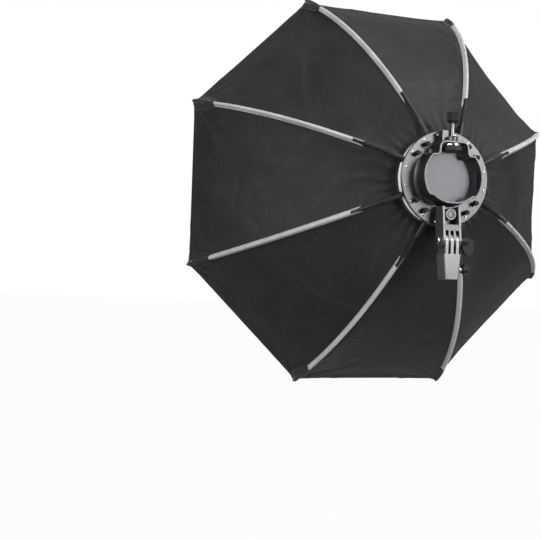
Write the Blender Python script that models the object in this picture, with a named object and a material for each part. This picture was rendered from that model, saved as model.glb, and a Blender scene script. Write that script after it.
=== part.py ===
"""Octagonal quick-open softbox with a clamp hub for a flash head and a tilting stand bracket.

Metres, +Z up. The diffuser faces -Y and the hub is seen from +Y. The origin is the centre of the
stand socket's mouth, where the box sits on a light stand's spigot. "Depth" is the distance in front
of the mount ring's rear face, and "height" is the distance behind it, where the collar stands.
"""
import math

import bmesh
import bpy
from mathutils import Matrix, Vector

MM = 0.001

# ---------------------------------------------------------------- driving dimensions (metres)
HUB = Vector((0.0, -15 * MM, 136 * MM))     # centre of the mount ring's rear face
SIDES = 8
HALF_SIDE = math.pi / SIDES
BOX_R = 325 * MM                            # rib line at the rim, corner radius of the octagon
BOX_DEPTH = 242 * MM                        # mount ring to rim plane

RING_R = 65 * MM
RING_THICK = 4 * MM
COLLAR_HEIGHT = 24 * MM
COLLAR_NOSE = 8 * MM                        # how far the collar reaches in front of the ring
COLLAR_WALL = 2.2 * MM
COLLAR_SIDE_R = 43.5 * MM

DRUM_R = 62.6 * MM
DRUM_WALL = 5 * MM
DRUM_FRONT = 17.9 * MM
GAP = 0.3 * MM                              # clearance left between touching pieces

RIB_ARC_R = 481.9 * MM                      # the rod's bend, measured along its centre line
RIB_ARC_CENTRE = (-105.4 * MM, 458.8 * MM)  # radius and depth of the bend's centre
ROD_R = 1.6 * MM
ROD_START = 76 * MM
ROD_END = 316 * MM
HINGE_R = 60.1 * MM
HINGE_DEPTH = 8.2 * MM
SOCKET_TUBE_R = 2.8 * MM
SOCKET_START = 65 * MM
SOCKET_END = 86 * MM
TIP_R = 2.6 * MM
TIP_END = 322 * MM
TIP_MOUTH = 313 * MM

FABRIC_THICK = 1.5 * MM
FABRIC_BELOW_ROD = 3.4 * MM                 # rod centre to the cloth's outer face
NECK_R = 63.5 * MM
NECK_DEPTH = 18.6 * MM

BUTTON_RING_R = 54 * MM
BUTTON_OFFSET = math.radians(12.5)          # angle from a rib to its release button
BUTTON_R = 3.25 * MM
BUTTON_TOP = 9 * MM
BUTTON_LIFT = 3 * MM                        # gap under the button's head, which is its travel

FRONT_PANEL_R = 321 * MM
INNER_PANEL_R = 160 * MM
INNER_PANEL_DEPTH = 130 * MM

CLAMP_HEIGHT = 16 * MM                      # clamp screw axis behind the ring's rear face
SCREW_R = 2.5 * MM
SCREW_HOLE_R = 2.9 * MM

TILT_Z = 52 * MM                            # tilt axis above the socket's mouth, at Y = 0
ARM_HALF = 13.25 * MM
FIN_TIP_R = 10 * MM
SPIGOT_R = 8 * MM
SPIGOT_DEPTH = 27 * MM
LOCK_Z = 14 * MM


# ---------------------------------------------------------------- materials
def material(name, colour, roughness, metallic=0.0):
    mat = bpy.data.materials.get(name)
    if mat is None:
        mat = bpy.data.materials.new(name)
        mat.use_nodes = True
        shader = mat.node_tree.nodes["Principled BSDF"]
        shader.inputs["Base Color"].default_value = (*colour, 1.0)
        shader.inputs["Roughness"].default_value = roughness
        shader.inputs["Metallic"].default_value = metallic
        mat.diffuse_color = (*colour, 1.0)
    return mat


def textured_plastic():
    return material("ring_plastic", (0.075, 0.077, 0.080), 0.62)


def satin_plastic():
    return material("black_plastic", (0.022, 0.022, 0.023), 0.42)


def white_plastic():
    return material("white_plastic", (0.86, 0.87, 0.88), 0.40)


def black_rubber():
    return material("black_rubber", (0.018, 0.018, 0.018), 0.80)


def steel():
    return material("bright_steel", (0.72, 0.72, 0.73), 0.24, 1.0)


def black_steel():
    return material("black_rod", (0.030, 0.030, 0.031), 0.35, 0.6)


def brass():
    return material("brass", (0.78, 0.60, 0.28), 0.32, 1.0)


def black_cloth():
    return material("black_ripstop", (0.026, 0.026, 0.027), 0.78)


def white_cloth():
    return material("white_diffuser", (0.80, 0.81, 0.83), 0.85)


# ---------------------------------------------------------------- shape helpers
def clear_scene():
    for item in list(bpy.data.objects):
        bpy.data.objects.remove(item, do_unlink=True)


def add_object(name, mesh_bm, mat, smooth=True):
    """Turn a bmesh into a named object in the scene."""
    bmesh.ops.remove_doubles(mesh_bm, verts=mesh_bm.verts, dist=1e-7)
    bmesh.ops.recalc_face_normals(mesh_bm, faces=mesh_bm.faces)
    mesh = bpy.data.meshes.new(name)
    mesh_bm.to_mesh(mesh)
    mesh_bm.free()
    mesh.materials.append(mat)
    if smooth:
        mesh.shade_smooth()
        mesh.set_sharp_from_angle(angle=math.radians(35))
    item = bpy.data.objects.new(name, mesh)
    bpy.context.scene.collection.objects.link(item)
    return item


def loft(sections):
    """A closed solid through equal-sized loops of points."""
    bm = bmesh.new()
    loops = [[bm.verts.new(p) for p in section] for section in sections]
    count = len(loops[0])
    for low, high in zip(loops, loops[1:]):
        for i in range(count):
            j = (i + 1) % count
            bm.faces.new((low[i], low[j], high[j], high[i]))
    bm.faces.new(loops[0][::-1])
    bm.faces.new(loops[-1])
    return bm


def turned(profile, origin, axis, steps=24):
    """A solid of revolution: (radius, distance along the axis) pairs around an axis."""
    axis = Vector(axis).normalized()
    side = axis.orthogonal().normalized()
    other = axis.cross(side)
    bm = bmesh.new()
    rings = []
    for radius, along in profile:
        centre = Vector(origin) + axis * along
        if radius < 1e-9:
            rings.append([bm.verts.new(centre)])
            continue
        turns = [2 * math.pi * k / steps for k in range(steps)]
        rings.append([bm.verts.new(centre + (side * math.cos(t) + other * math.sin(t)) * radius)
                      for t in turns])
    pairs = list(zip(rings, rings[1:]))
    if len(rings[0]) > 1 and len(rings[-1]) > 1:
        pairs.append((rings[-1], rings[0]))
    for a, b in pairs:
        for k in range(steps):
            n = (k + 1) % steps
            if len(a) == 1:
                bm.faces.new((a[0], b[n], b[k]))
            elif len(b) == 1:
                bm.faces.new((a[k], a[n], b[0]))
            else:
                bm.faces.new((a[k], a[n], b[n], b[k]))
    return bm


def rod_profile(radius, length, chamfer=0.0):
    """A plain round bar's profile for turned(), closed at both ends."""
    if chamfer:
        return [(0, 0), (radius - chamfer, 0), (radius, chamfer), (radius, length - chamfer),
                (radius - chamfer, length), (0, length)]
    return [(0, 0), (radius, 0), (radius, length), (0, length)]


def box_bm(low, high):
    """A box between two corners."""
    bm = bmesh.new()
    low, high = Vector(low), Vector(high)
    size = high - low
    turn = Matrix.Translation((low + high) / 2) @ Matrix.Diagonal((*size, 1))
    bmesh.ops.create_cube(bm, size=1, matrix=turn)
    return bm


def extruded(outline, axis, start, end):
    """Extrude a closed 2-D outline along X ("x": points are y, z) or Y ("y": points are x, z)."""
    def place(p, along):
        return Vector((along, p[0], p[1])) if axis == "x" else Vector((p[0], along, p[1]))
    return loft([[place(p, start) for p in outline], [place(p, end) for p in outline]])


def rounded(corners, steps=4):
    """A closed outline from (x, y, radius) corners, with an arc at each corner that has a radius."""
    points = []
    for i, (x, y, radius) in enumerate(corners):
        here = Vector((x, y))
        if radius == 0:
            points.append((x, y))
            continue
        before = (Vector(corners[i - 1][:2]) - here).normalized()
        after = (Vector(corners[(i + 1) % len(corners)][:2]) - here).normalized()
        half = before.angle(after) / 2
        middle = here + (before + after).normalized() * radius / math.sin(half)
        start = here + before * radius / math.tan(half) - middle
        sweep = start.angle_signed(here + after * radius / math.tan(half) - middle)
        for k in range(steps + 1):
            turn = -sweep * k / steps
            c, s = math.cos(turn), math.sin(turn)
            points.append((middle.x + start.x * c - start.y * s, middle.y + start.x * s + start.y * c))
    return points


def grown(outline, amount):
    """Push an anticlockwise closed outline outward by a distance."""
    result = []
    for i, p in enumerate(outline):
        before = Vector(p) - Vector(outline[i - 1])
        after = Vector(outline[(i + 1) % len(outline)]) - Vector(p)
        way = before.normalized() + after.normalized()
        out = Vector((way.y, -way.x)).normalized()
        result.append((p[0] + out.x * amount, p[1] + out.y * amount))
    return result


def combine(target, tool_bm, operation):
    """Add or cut a shape with an exact Boolean that stays live on the target."""
    tool = add_object(f"{target.name}_tool", tool_bm, target.data.materials[0], smooth=False)
    tool.hide_render = True
    tool.display_type = "WIRE"
    modifier = target.modifiers.new(operation.lower(), "BOOLEAN")
    modifier.operation = operation
    modifier.solver = "EXACT"
    modifier.object = tool
    return tool


def cut(target, tool_bm):
    return combine(target, tool_bm, "DIFFERENCE")


def join(target, tool_bm):
    return combine(target, tool_bm, "UNION")


# ---------------------------------------------------------------- places
def rib_angle(index):
    return HALF_SIDE + index * 2 * HALF_SIDE


def hub_point(radius, angle, depth):
    """A point from its radius, angle and depth in front of the mount ring's rear face."""
    return HUB + Vector((radius * math.cos(angle), -depth, radius * math.sin(angle)))


def outward(angle):
    return Vector((math.cos(angle), 0, math.sin(angle)))


def around(angle):
    return Vector((-math.sin(angle), 0, math.cos(angle)))


def arc_depth(radius, inside=0.0):
    """Depth of the rib's bend at a radius, or of a bend that lies inside it."""
    across = radius - RIB_ARC_CENTRE[0]
    return RIB_ARC_CENTRE[1] - math.sqrt((RIB_ARC_R - inside) ** 2 - across ** 2)


def arc_direction(radius, angle):
    """The rib's direction at a radius, pointing away from the hub."""
    across = radius - RIB_ARC_CENTRE[0]
    along = RIB_ARC_CENTRE[1] - arc_depth(radius)
    return (outward(angle) * along + Vector((0, -1, 0)) * across).normalized()


# ---------------------------------------------------------------- hub
def collar_outline():
    """Outer outline of the flash collar (x, z), anticlockwise and centred on the ring."""
    side_top = math.radians(43)
    side_bottom = math.radians(-35)
    shoulder_top, shoulder_bottom = 30 * MM, -25.5 * MM
    bump_r, bump_bottom = 47 * MM, -36 * MM
    right = [(21 * MM, 48 * MM, 8.5 * MM), (22.5 * MM, shoulder_top, 4 * MM)]
    right += [(31.5 * MM, shoulder_top, 2.5 * MM)]
    steps = 10
    for k in range(1, steps):
        a = side_top + (side_bottom - side_top) * k / steps
        right.append((COLLAR_SIDE_R * math.cos(a), COLLAR_SIDE_R * math.sin(a), 0))
    right += [(34.8 * MM, shoulder_bottom, 2.5 * MM), (29.5 * MM, shoulder_bottom, 4.5 * MM)]
    for k in range(3, 0, -1):
        x = 26 * MM * k / 3
        right.append((x, bump_bottom + bump_r - math.sqrt(bump_r ** 2 - x ** 2), 0))
    left = [(-x, y, radius) for x, y, radius in right[::-1]]
    clockwise = rounded(right + left)
    return clockwise[::-1]


def build_mount_ring():
    """Ring plate and flash collar, moulded in one piece, with the clamp boss and its gusset."""
    edge = 0.8 * MM
    plate = turned([(0, 0), (RING_R - edge, 0), (RING_R, edge), (RING_R, RING_THICK - edge),
                    (RING_R - edge, RING_THICK), (0, RING_THICK)], HUB, (0, -1, 0), 72)
    ring = add_object("mount_ring", plate, textured_plastic())

    outline = collar_outline()
    levels = [(COLLAR_HEIGHT, -0.5), (COLLAR_HEIGHT - 0.6 * MM, 0), (6 * MM, 0), (3 * MM, 0.6),
              (1.2 * MM, 1.6), (0, 3.2), (-2 * MM, 3.2), (-3 * MM, 0), (-COLLAR_NOSE, 0)]
    sections = []
    for height, growth in levels:
        shape = grown(outline, growth * MM)
        sections.append([HUB + Vector((x, height, z)) for x, z in shape])
    join(ring, loft(sections))

    gusset = rounded([(-2 * MM, 45 * MM, 0), (-2 * MM, 63 * MM, 2 * MM),
                      (13 * MM, 63 * MM, 2 * MM), (13 * MM, 45 * MM, 0)], 3)
    placed = [(x, z + HUB.z) for x, z in gusset]
    join(ring, extruded(placed, "y", HUB.y - 1 * MM, HUB.y + 13 * MM))
    boss = HUB + Vector((0, CLAMP_HEIGHT, 46.5 * MM))
    join(ring, turned([(0, 0), (7.5 * MM, 0), (7.5 * MM, 7 * MM), (6.7 * MM, 7.8 * MM),
                       (0, 7.8 * MM)], boss, (0, 0, 1), 28))

    inside = [(x, z + HUB.z) for x, z in grown(outline, -COLLAR_WALL)]
    cut(ring, extruded(inside, "y", HUB.y - COLLAR_NOSE - MM, HUB.y + COLLAR_HEIGHT + MM))
    cut(ring, turned(rod_profile(SCREW_HOLE_R, 20 * MM), boss - Vector((0, 0, 5 * MM)), (0, 0, 1), 20))
    for index in range(SIDES):
        cut(ring, button_slot(index))
    return ring


def button_angle(index):
    """Buttons stand in pairs beside the diagonals, so even and odd ribs mirror each other."""
    return rib_angle(index) + (BUTTON_OFFSET if index % 2 == 0 else -BUTTON_OFFSET)


def button_slot(index):
    """The slot through the ring plate that a release button's stem runs in."""
    angle = button_angle(index)
    centre = hub_point(BUTTON_RING_R, angle, RING_THICK / 2)
    turn = Matrix.Translation(centre) @ Matrix.Rotation(-angle, 4, "Y")
    bm = bmesh.new()
    size = Matrix.Diagonal((4 * MM, 10 * MM, 9.5 * MM, 1))
    bmesh.ops.create_cube(bm, size=1, matrix=turn @ size)
    return bm


def build_side_pads():
    """Two rubber strips with grip nubs inside the collar's side walls."""
    for name, side in (("side_pad_left", 1), ("side_pad_right", -1)):
        low, high = 37.6 * MM, 39.1 * MM
        ends = sorted((side * low, side * high))
        strip = box_bm(HUB + Vector((ends[0], 8 * MM, -12 * MM)),
                       HUB + Vector((ends[1], 16 * MM, 9 * MM)))
        pad = add_object(name, strip, black_rubber())
        for z in (-9 * MM, 5 * MM):
            start = HUB + Vector((side * 38.2 * MM, 12 * MM, z))
            join(pad, turned([(0, 0), (2.2 * MM, 0), (1.7 * MM, 2.6 * MM), (0, 2.6 * MM)],
                             start, (-side, 0, 0), 12))


def build_drum():
    """White drum between the mount ring and the front ring, notched for the rib sockets."""
    start = RING_THICK + GAP
    inner = DRUM_R - DRUM_WALL
    drum = add_object("hub_drum", turned(
        [(inner, start), (DRUM_R, start), (DRUM_R, DRUM_FRONT), (inner, DRUM_FRONT)],
        HUB, (0, -1, 0), 80), white_plastic())
    for index in range(SIDES):
        angle = rib_angle(index)
        turn = Matrix.Rotation(-angle, 4, "Y")
        for low_r, high_r, low_d, high_d, wide in ((50, 70, 3, 14.2, 8.6), (60, 71, 13, 19, 9.2)):
            bm = bmesh.new()
            centre = hub_point((low_r + high_r) / 2 * MM, angle, (low_d + high_d) / 2 * MM)
            size = Matrix.Diagonal(((high_r - low_r) * MM, (high_d - low_d) * MM, wide * MM, 1))
            bmesh.ops.create_cube(bm, size=1, matrix=Matrix.Translation(centre) @ turn @ size)
            cut(drum, bm)
        pin = hub_point(HINGE_R, angle, HINGE_DEPTH) - around(angle) * 6.4 * MM
        cut(drum, turned(rod_profile(1.5 * MM, 12.8 * MM), pin, around(angle), 12))
    return drum


def build_front_ring():
    """Retaining ring that closes the drum and holds the cloth's neck."""
    start = DRUM_FRONT + GAP
    return add_object("front_ring", turned(
        [(50.5 * MM, start), (61.5 * MM, start), (61.5 * MM, start + 2.4 * MM),
         (60.9 * MM, start + 3 * MM), (50.5 * MM, start + 3 * MM)],
        HUB, (0, -1, 0), 64), satin_plastic())


def build_release_button(index):
    """Round push head on a stem that drops through the ring plate."""
    angle = button_angle(index)
    top = hub_point(BUTTON_RING_R, angle, -BUTTON_TOP)
    head = BUTTON_TOP - BUTTON_LIFT
    button = add_object(f"release_button_{index + 1}", turned(
        [(0, 0), (BUTTON_R - 0.5 * MM, 0), (BUTTON_R, 0.5 * MM), (BUTTON_R, head), (0, head)],
        top, (0, -1, 0), 16), satin_plastic())
    stem = bmesh.new()
    centre = hub_point(BUTTON_RING_R, angle, 1.25 * MM)
    size = Matrix.Diagonal((2.8 * MM, 9.5 * MM, 4.6 * MM, 1))
    turn = Matrix.Translation(centre) @ Matrix.Rotation(-angle, 4, "Y")
    bmesh.ops.create_cube(stem, size=1, matrix=turn @ size)
    join(button, stem)
    slot = bmesh.new()
    centre = hub_point(BUTTON_RING_R, angle, -BUTTON_TOP)
    size = Matrix.Diagonal((1.0 * MM, 1.6 * MM, 9 * MM, 1))
    turn = Matrix.Translation(centre) @ Matrix.Rotation(-angle, 4, "Y")
    bmesh.ops.create_cube(slot, size=1, matrix=turn @ size)
    cut(button, slot)
    return button


# ---------------------------------------------------------------- ribs
def build_rib_socket(index):
    """Pivoting rib root: a barrel with stub trunnions, and a tube that holds the rod."""
    angle = rib_angle(index)
    pivot = hub_point(HINGE_R, angle, HINGE_DEPTH)
    tangent = around(angle)
    barrel_half = 3.9 * MM
    socket = add_object(f"rib_socket_{index + 1}", turned(
        rod_profile(3.2 * MM, 2 * barrel_half), pivot - tangent * barrel_half, tangent, 16),
        satin_plastic())
    join(socket, turned(rod_profile(1.2 * MM, 12 * MM), pivot - tangent * 6 * MM, tangent, 10))
    join(socket, turned(rod_profile(2.5 * MM, 6.4 * MM), pivot, outward(angle), 14))

    grip_r = (ROD_START + SOCKET_END) / 2
    axis = arc_direction(grip_r, angle)
    middle = hub_point(grip_r, angle, arc_depth(grip_r))
    slope = axis.dot(outward(angle))
    back = (grip_r - SOCKET_START) / slope
    length = (SOCKET_END - SOCKET_START) / slope
    bore_floor = length - 11 * MM
    bore = ROD_R + GAP
    join(socket, turned([(0, 0), (SOCKET_TUBE_R, 0), (SOCKET_TUBE_R, length), (bore, length),
                         (bore, bore_floor), (0, bore_floor)], middle - axis * back, axis, 14))
    return socket


def build_rib_rod(index):
    """Spring rod, bent into a shallow bow by the cloth."""
    angle = rib_angle(index)
    steps = 17
    curve = bpy.data.curves.new(f"rib_rod_{index + 1}", "CURVE")
    curve.dimensions = "3D"
    curve.bevel_depth = ROD_R
    curve.bevel_resolution = 2
    curve.use_fill_caps = True
    spline = curve.splines.new("POLY")
    spline.points.add(steps - 1)
    for k in range(steps):
        radius = ROD_START + (ROD_END - ROD_START) * k / (steps - 1)
        spline.points[k].co = (*hub_point(radius, angle, arc_depth(radius)), 1)
    curve.materials.append(black_steel())
    rod = bpy.data.objects.new(f"rib_rod_{index + 1}", curve)
    bpy.context.scene.collection.objects.link(rod)
    return rod


def build_rib_tip(index):
    """Moulded end cap that sits in the corner pocket of the cloth."""
    angle = rib_angle(index)
    end = hub_point(TIP_END, angle, arc_depth(TIP_END))
    mouth = hub_point(TIP_MOUTH, angle, arc_depth(TIP_MOUTH))
    axis = (mouth - end).normalized()
    length = (mouth - end).length
    bore = ROD_R + GAP
    slope = arc_direction(ROD_END, angle).dot(outward(angle))
    bore_floor = (TIP_END - ROD_END) / slope - 1 * MM
    profile = [(0, 0), (1.3 * MM, 0.3 * MM), (2.2 * MM, 1.1 * MM), (TIP_R, 2.4 * MM),
               (TIP_R, length), (bore, length), (bore, bore_floor), (0, bore_floor)]
    return add_object(f"rib_tip_{index + 1}", turned(profile, end, axis, 12), satin_plastic())


# ---------------------------------------------------------------- cloth
def gore_profile():
    """The cloth's stations from neck to rim: rib-line radius, depth, and how straight it is across."""
    stations = [(NECK_R, NECK_DEPTH, 0.0), (72 * MM, NECK_DEPTH + 0.4 * MM, 0.35)]
    inside = FABRIC_BELOW_ROD
    first, count = 86 * MM, 12
    last = RIB_ARC_CENTRE[0] + math.sqrt((RIB_ARC_R - inside) ** 2 - (RIB_ARC_CENTRE[1] - BOX_DEPTH) ** 2)
    for k in range(count + 1):
        radius = first + (last - first) * k / count
        stations.append((radius, arc_depth(radius, inside), min(1.0, 0.7 + 0.3 * k)))
    return stations


def build_canopy_gore(index):
    """One sewn panel between two ribs, as a closed shell of even thickness."""
    across = 6
    stations = gore_profile()
    middle = rib_angle(index) + HALF_SIDE
    inset = 0.35 * MM

    def surface(radius, depth, straight, share):
        edge = HALF_SIDE - inset / radius
        angle = edge * share
        chord = radius * math.cos(HALF_SIDE) / math.cos(angle)
        local = radius + (chord - radius) * straight
        return local, middle + angle, depth

    bm = bmesh.new()
    outer, inner = [], []
    for k, (radius, depth, straight) in enumerate(stations):
        before = stations[max(k - 1, 0)]
        after = stations[min(k + 1, len(stations) - 1)]
        slope = Vector((after[0] - before[0], after[1] - before[1])).normalized()
        inward = Vector((-slope.y, slope.x)) * FABRIC_THICK
        if k == len(stations) - 1:
            inward = Vector((-FABRIC_THICK / slope.y, 0))
        rows = []
        for shift in (Vector((0, 0)), inward):
            row = []
            for i in range(across + 1):
                share = 2 * i / across - 1
                r, a, d = surface(radius, depth, straight, share)
                row.append(bm.verts.new(hub_point(r + shift.x, a, d + shift.y)))
            rows.append(row)
        outer.append(rows[0])
        inner.append(rows[1])
    for k in range(len(stations) - 1):
        for i in range(across):
            bm.faces.new((outer[k][i], outer[k][i + 1], outer[k + 1][i + 1], outer[k + 1][i]))
            bm.faces.new((inner[k][i], inner[k + 1][i], inner[k + 1][i + 1], inner[k][i + 1]))
        for i in (0, across):
            bm.faces.new((outer[k][i], outer[k + 1][i], inner[k + 1][i], inner[k][i]))
    for k in (0, len(stations) - 1):
        for i in range(across):
            bm.faces.new((outer[k][i], outer[k][i + 1], inner[k][i + 1], inner[k][i]))
    return add_object(f"canopy_gore_{index + 1}", bm, black_cloth())


def build_octagon_panel(name, radius, depth, thickness):
    """A flat octagonal cloth panel with a hemmed edge."""
    shapes = [(radius - 1 * MM, depth), (radius, depth + thickness / 3),
              (radius, depth + 2 * thickness / 3), (radius - 1 * MM, depth + thickness)]
    sections = [[hub_point(r, rib_angle(i), d) for i in range(SIDES)] for r, d in shapes]
    return add_object(name, loft(sections), white_cloth(), smooth=False)


# ---------------------------------------------------------------- flash clamp
def build_clamp():
    """Thumb screw, knob, steel disc and rubber pad that press on the flash head."""
    axis_base = HUB + Vector((0, CLAMP_HEIGHT, 0))
    up = Vector((0, 0, 1))
    add_object("clamp_screw", turned(rod_profile(SCREW_R, 38 * MM, 0.5 * MM),
                                     axis_base + up * 44.2 * MM, up, 20), steel())

    knob_r, knob_h, bore = 8 * MM, 14 * MM, SCREW_R + GAP
    ribs = 20
    outline = []
    for k in range(ribs * 2):
        radius = knob_r if k % 2 == 0 else knob_r - 0.7 * MM
        turn = math.pi * k / ribs
        outline.append((radius * math.cos(turn), radius * math.sin(turn)))
    base = axis_base + up * 72.5 * MM
    levels = [(2 * MM, 0.86), (2.4 * MM, 1.0), (knob_h - 0.8 * MM, 1.0), (knob_h, 0.92)]
    sections = [[base + Vector((x * s, y * s, z)) for x, y in outline] for z, s in levels]
    knob = add_object("clamp_knob", loft(sections), satin_plastic(), smooth=False)
    join(knob, turned(rod_profile(5.2 * MM, 5 * MM), base, up, 20))
    cut(knob, turned(rod_profile(bore, 11 * MM), base - up * MM, up, 20))

    add_object("pressure_disc", turned([(0, 0), (11.5 * MM, 0), (11.5 * MM, 1.6 * MM),
                                        (11 * MM, 2.1 * MM), (0, 2.1 * MM)],
                                       axis_base + up * 41.8 * MM, up, 28), steel())
    add_object("pressure_pad", turned([(0, 0), (12.2 * MM, 0), (13 * MM, 0.8 * MM),
                                       (13 * MM, 6.2 * MM), (12.2 * MM, 7 * MM), (0, 7 * MM)],
                                      axis_base + up * 34.5 * MM, up, 28), black_rubber())


# ---------------------------------------------------------------- stand bracket
ARM_FINS = ((-13.25, -10.25), (-5.3, -2.5), (2.5, 5.3), (10.25, 13.25))
SOCKET_FINS = ((-9.85, -5.7), (-2.1, 2.1), (5.7, 9.85))


def fin_outline(top, half_top, half_bottom, tip_r, tip_up):
    """Side view (y, z) of a fin with a round end on the tilt axis."""
    steps = 12
    sign = 1 if tip_up else -1
    points = []
    for k in range(steps + 1):
        turn = math.pi * k / steps
        points.append((tip_r * math.cos(turn), TILT_Z + sign * tip_r * math.sin(turn)))
    return points + [(-half_bottom, top), (half_top, top)]


def build_tilt_arm():
    """Channel arm screwed to the mount ring, ending in four comb fins around the tilt bolt."""
    front = HUB.y + GAP
    top = HUB.z - 38.5 * MM
    saddle = TILT_Z + 13 * MM
    rail = fin_outline(top, 4.5 * MM, -front, FIN_TIP_R, False)
    rail.insert(len(rail) - 2, (front, TILT_Z + 22 * MM))
    arm = None
    for low, high in ARM_FINS:
        inner = abs(low + high) < 16
        outline = rail
        if inner:
            outline = fin_outline(saddle + 4 * MM, 7 * MM, 12 * MM, FIN_TIP_R, False)
        bm = extruded(outline, "x", low * MM, high * MM)
        if arm is None:
            arm = add_object("tilt_arm", bm, satin_plastic())
        else:
            join(arm, bm)
    join(arm, box_bm((-ARM_HALF + MM, front, saddle + 2 * MM), (ARM_HALF - MM, front + 7 * MM, top)))
    join(arm, box_bm((-ARM_HALF + MM, front + 2 * MM, saddle), (ARM_HALF - MM, 8 * MM, saddle + 8 * MM)))
    boss = Vector((0, front + 5 * MM, HUB.z - 49 * MM))
    join(arm, turned([(0, 0), (8 * MM, 0), (8 * MM, 13 * MM), (7.4 * MM, 13.6 * MM), (0, 13.6 * MM)],
                     boss, (0, 1, 0), 28))
    cut(arm, turned(rod_profile(5.3 * MM, 6 * MM), boss + Vector((0, 10.6 * MM, 0)), (0, 1, 0), 24))
    saddle_axis = Vector((-20 * MM, 14.5 * MM, saddle + 9 * MM))
    cut_r = 7.2 * MM
    cut(arm, turned(rod_profile(cut_r, 19 * MM), saddle_axis + Vector((10.5 * MM, 0, 0)), (1, 0, 0), 28))
    cut(arm, turned(rod_profile(SCREW_HOLE_R, 40 * MM), (-20 * MM, 0, TILT_Z), (1, 0, 0), 20))
    add_object("arm_screw", turned([(0, 0), (5 * MM, 0), (5 * MM, 1.8 * MM), (4.4 * MM, 2.4 * MM),
                                    (3.2 * MM, 2.4 * MM), (3.2 * MM, 1.4 * MM), (0, 1.4 * MM)],
                                   boss + Vector((0, 10.9 * MM, 0)), (0, 1, 0), 24), satin_plastic())
    return arm


def build_stand_socket():
    """Tapered block with the spigot bore, three comb fins and the lock screw's boss."""
    block_top = 34 * MM
    sections = []
    for z, half_x, half_y in ((0, 9.6, 10), (1 * MM, 10, 10.5), (block_top - MM, 13, 10.5),
                              (block_top, 12.5, 10)):
        corners = rounded([(-half_x * MM, -half_y * MM, 1.5 * MM), (half_x * MM, -half_y * MM, 1.5 * MM),
                           (half_x * MM, half_y * MM, 1.5 * MM), (-half_x * MM, half_y * MM, 1.5 * MM)], 3)
        sections.append([Vector((x, y, z)) for x, y in corners])
    socket = add_object("stand_socket", loft(sections), satin_plastic())
    for low, high in SOCKET_FINS:
        outline = fin_outline(block_top - 2 * MM, 9.5 * MM, 9.5 * MM, 9.5 * MM, True)
        join(socket, extruded(outline, "x", low * MM, high * MM))
    join(socket, turned(rod_profile(5.2 * MM, 9 * MM, 0.6 * MM), (-7 * MM, 0, LOCK_Z), (-1, 0, 0), 24))
    cut(socket, turned(rod_profile(SPIGOT_R, SPIGOT_DEPTH + MM), (0, 0, -MM), (0, 0, 1), 40))
    cut(socket, turned(rod_profile(SCREW_HOLE_R, 20 * MM), (0, 0, LOCK_Z), (-1, 0, 0), 20))
    cut(socket, turned(rod_profile(SCREW_HOLE_R, 30 * MM), (-15 * MM, 0, TILT_Z), (1, 0, 0), 20))
    return socket


def wing_knob(name, start, boss_r, boss_length, wing, bore_depth):
    """A boss along -X with a flat wing, and a blind bore for its screw."""
    knob = add_object(name, turned([(0, 0), (boss_r, 0), (boss_r, boss_length - MM),
                                    (boss_r - MM, boss_length), (0, boss_length)],
                                   start, (-1, 0, 0), 24), satin_plastic())
    corners = rounded(wing, 4)
    thick = 2.4 * MM
    join(knob, loft([[Vector((x, start[1] + y, z)) for x, z in corners] for y in (-thick, thick)]))
    cut(knob, turned(rod_profile(SCREW_R + GAP, bore_depth + MM), Vector(start) + Vector((MM, 0, 0)),
                     (-1, 0, 0), 20))
    return knob


def build_tilt_fasteners():
    """Bolt, washer and wing knob that squeeze the comb."""
    head_start = ARM_HALF + GAP
    bolt = add_object("tilt_bolt", turned(rod_profile(4.4 * MM, 3.6 * MM, 0.5 * MM),
                                          (head_start, 0, TILT_Z), (1, 0, 0), 6), steel(), smooth=False)
    join(bolt, turned(rod_profile(SCREW_R, 37.5 * MM, 0.4 * MM), (head_start + MM, 0, TILT_Z), (-1, 0, 0), 20))
    washer_start = -ARM_HALF - GAP
    add_object("tilt_washer", turned([(SCREW_HOLE_R, 0), (6.5 * MM, 0), (6.5 * MM, 1.2 * MM),
                                      (SCREW_HOLE_R, 1.2 * MM)],
                                     (washer_start, 0, TILT_Z), (-1, 0, 0), 24), steel())
    start = (washer_start - 1.5 * MM, 0, TILT_Z)
    wing = [(-19 * MM, TILT_Z + 5.5 * MM, 2 * MM), (-35 * MM, TILT_Z + 3 * MM, 4 * MM),
            (-37 * MM, TILT_Z - 15 * MM, 4 * MM), (-26 * MM, TILT_Z - 20 * MM, 4 * MM),
            (-19 * MM, TILT_Z - 9 * MM, 2 * MM)]
    wing_knob("tilt_knob", start, 5.5 * MM, 12 * MM, wing, 9.5 * MM)


def build_spigot_lock():
    """Brass pad, screw and wing knob that hold the stand's spigot."""
    add_object("spigot_pad", turned(rod_profile(2.5 * MM, 3 * MM, 0.3 * MM),
                                    (-8.2 * MM, 0, LOCK_Z), (-1, 0, 0), 18), brass())
    add_object("spigot_screw", turned(rod_profile(SCREW_R, 16 * MM, 0.4 * MM),
                                      (-11.5 * MM, 0, LOCK_Z), (-1, 0, 0), 20), steel())
    wing = [(-22.5 * MM, LOCK_Z + 7.5 * MM, 2 * MM), (-31 * MM, LOCK_Z + 7.5 * MM, 3 * MM),
            (-31 * MM, LOCK_Z - 7.5 * MM, 3 * MM), (-22.5 * MM, LOCK_Z - 7.5 * MM, 2 * MM)]
    wing_knob("spigot_knob", (-19.6 * MM, 0, LOCK_Z), 4.6 * MM, 10 * MM, wing, 8.2 * MM)


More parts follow.
